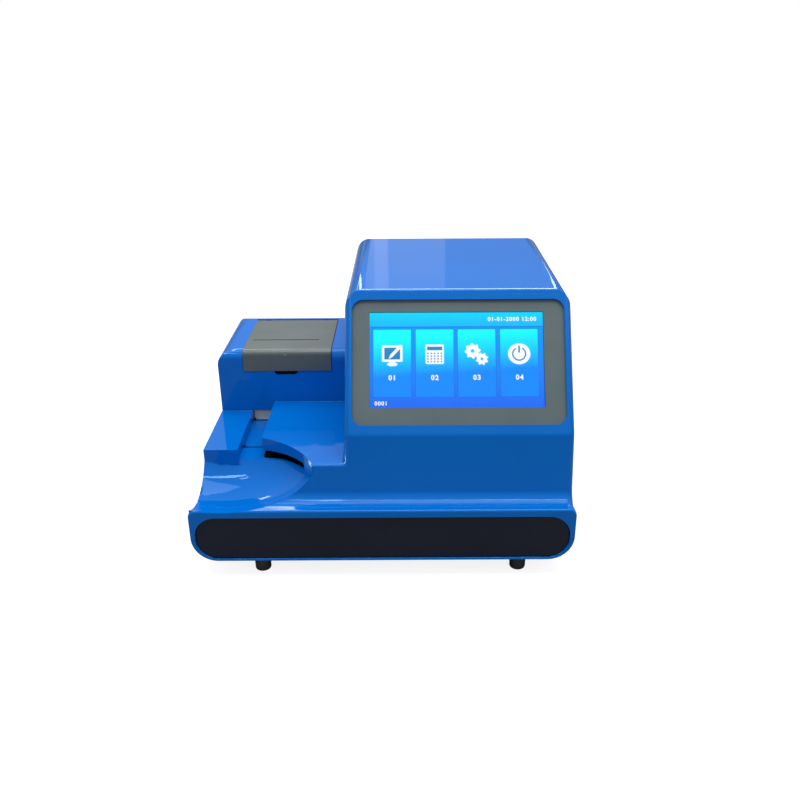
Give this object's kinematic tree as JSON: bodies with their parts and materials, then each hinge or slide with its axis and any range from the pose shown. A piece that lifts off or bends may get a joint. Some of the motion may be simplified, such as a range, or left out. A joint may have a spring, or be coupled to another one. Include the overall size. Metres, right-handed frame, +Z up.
{
  "type": "urine analyzer",
  "caption": "Bench-top test strip reader with a tilted touch screen, receipt printer under a hinged lid, strip channel with finger dish, moving optics and side waste drawer.",
  "frame": {"origin": "on the table, under the middle of the instrument's outer box", "axes": "+X to the right seen from the front, +Y to the back, +Z up"},
  "size_m": [0.339, 0.298, 0.239],
  "materials": {
    "blue_shell": "gloss",
    "panel_black": "high gloss",
    "bezel_grey": "fine matt texture",
    "lid_grey": "fine matt texture",
    "clear_glass": "polished",
    "display": "lit screen behind the glass",
    "circuit_board": "solder mask",
    "ivory_plastic": "smooth",
    "black_plastic": "fine texture",
    "white_plastic": "smooth",
    "table_plastic": "gloss",
    "black_rubber": "matt",
    "platen_rubber": "ground",
    "steel": "turned",
    "zinc_steel": "zinc plated",
    "aluminium": "milled",
    "motor_metal": "satin",
    "thermal_paper": "smooth",
    "ceramic_head": "glazed",
    "lens_glass": "polished",
    "brass": "cut"
  },
  "bodies": {
    "case": {"upper_housing_tower": "blue_shell", "upper_housing_strip": "blue_shell", "upper_housing_printer": "blue_shell", "lower_housing": "blue_shell", "front_panel": "panel_black", "rubber_feet": "black_rubber", "foot_screws": "zinc_steel", "case_screws": "zinc_steel", "screen_bezel": "bezel_grey", "screen_screws": "zinc_steel", "touch_glass": "clear_glass", "display_module": "display", "display_board": "circuit_board", "lid_hinge_pin": "steel", "printer_frame": "black_plastic", "paper_spindle": "white_plastic", "printer_motor": "motor_metal", "thermal_head": "ceramic_head", "head_heat_sink": "aluminium", "strip_table": "table_plastic", "strip_stop": "ivory_plastic", "pusher_rods": "steel", "pusher_brackets": "zinc_steel", "pusher_motor": "motor_metal", "pusher_idler_pin": "steel", "pusher_belt": "black_rubber", "scan_rods": "steel", "scan_brackets": "zinc_steel", "scan_motor": "motor_metal", "scan_idler_pin": "steel", "scan_belt": "black_rubber", "drawer_runners": "zinc_steel", "chassis_plate": "zinc_steel", "main_board": "circuit_board", "board_standoffs": "brass", "board_screws": "zinc_steel", "power_supply": "zinc_steel", "rear_panel": "zinc_steel", "power_inlet": "black_plastic", "switch_frame": "black_plastic", "serial_socket": "zinc_steel", "usb_sockets": "zinc_steel"},
    "lid": {"printer_lid": "lid_grey"},
    "roll": {"paper_roll": "thermal_paper"},
    "platen": {"platen_roller": "platen_rubber", "platen_shaft": "steel", "platen_gear": "white_plastic"},
    "pinion": {"motor_pinion": "brass"},
    "pusher": {"strip_pusher": "black_plastic"},
    "pusher_drive": {"pusher_drive_pulley": "white_plastic"},
    "pusher_idler": {"pusher_idler_pulley": "white_plastic"},
    "head": {"optical_head": "black_plastic", "optics_lens": "lens_glass"},
    "scan_drive": {"scan_drive_pulley": "white_plastic"},
    "scan_idler": {"scan_idler_pulley": "white_plastic"},
    "drawer": {"waste_drawer": "black_plastic"},
    "rocker": {"power_rocker": "black_plastic"}
  },
  "joints": [
    {"name": "lid_hinge", "type": "hinge", "parent": "case", "child": "lid", "pos_m": [-0.09825, 0.1056, 0.1512], "axis": [-1, 0, 0], "range_deg": [0, 80]},
    {"name": "roll_spin", "type": "hinge", "parent": "case", "child": "roll", "pos_m": [-0.1028, 0.077, 0.1255], "axis": [1, 0, 0], "continuous": true},
    {"name": "platen_spin", "type": "hinge", "parent": "case", "child": "platen", "pos_m": [-0.1028, 0.041, 0.1305], "axis": [1, 0, 0], "continuous": true},
    {"name": "pinion_spin", "type": "hinge", "parent": "case", "child": "pinion", "pos_m": [-0.066, 0.041, 0.11445], "axis": [1, 0, 0], "continuous": true},
    {"name": "pusher_slide", "type": "slide", "parent": "case", "child": "pusher", "axis": [1, 0, 0], "range_m": [0, 0.126]},
    {"name": "pusher_drive_spin", "type": "hinge", "parent": "case", "child": "pusher_drive", "pos_m": [-0.0135, -0.019, 0.0425], "axis": [0, 1, 0], "range_deg": [0, 1150]},
    {"name": "pusher_idler_spin", "type": "hinge", "parent": "case", "child": "pusher_idler", "pos_m": [-0.146, -0.019, 0.0425], "axis": [0, 1, 0], "range_deg": [0, 1150]},
    {"name": "head_slide", "type": "slide", "parent": "case", "child": "head", "axis": [0, 1, 0], "range_m": [0, 0.052]},
    {"name": "scan_drive_spin", "type": "hinge", "parent": "case", "child": "scan_drive", "pos_m": [-0.017, 0.032, 0.1185], "axis": [1, 0, 0], "range_deg": [0, 480]},
    {"name": "scan_idler_spin", "type": "hinge", "parent": "case", "child": "scan_idler", "pos_m": [-0.017, -0.083, 0.1185], "axis": [1, 0, 0], "range_deg": [0, 480]},
    {"name": "drawer_slide", "type": "slide", "parent": "case", "child": "drawer", "axis": [1, 0, 0], "range_m": [0, 0.12]},
    {"name": "rocker_tip", "type": "hinge", "parent": "case", "child": "rocker", "pos_m": [0.095, 0.1432, 0.072], "axis": [0, 0, 1], "range_deg": [-16, 0]}
  ],
  "couplings": [
    {"joint": "pinion_spin", "follows": "platen_spin", "ratio": -3.5714},
    {"joint": "pusher_drive_spin", "follows": "pusher_slide", "rad_per_m": 158.73},
    {"joint": "pusher_idler_spin", "follows": "pusher_slide", "rad_per_m": 158.73},
    {"joint": "scan_drive_spin", "follows": "head_slide", "rad_per_m": 158.73},
    {"joint": "scan_idler_spin", "follows": "head_slide", "rad_per_m": 158.73}
  ]
}
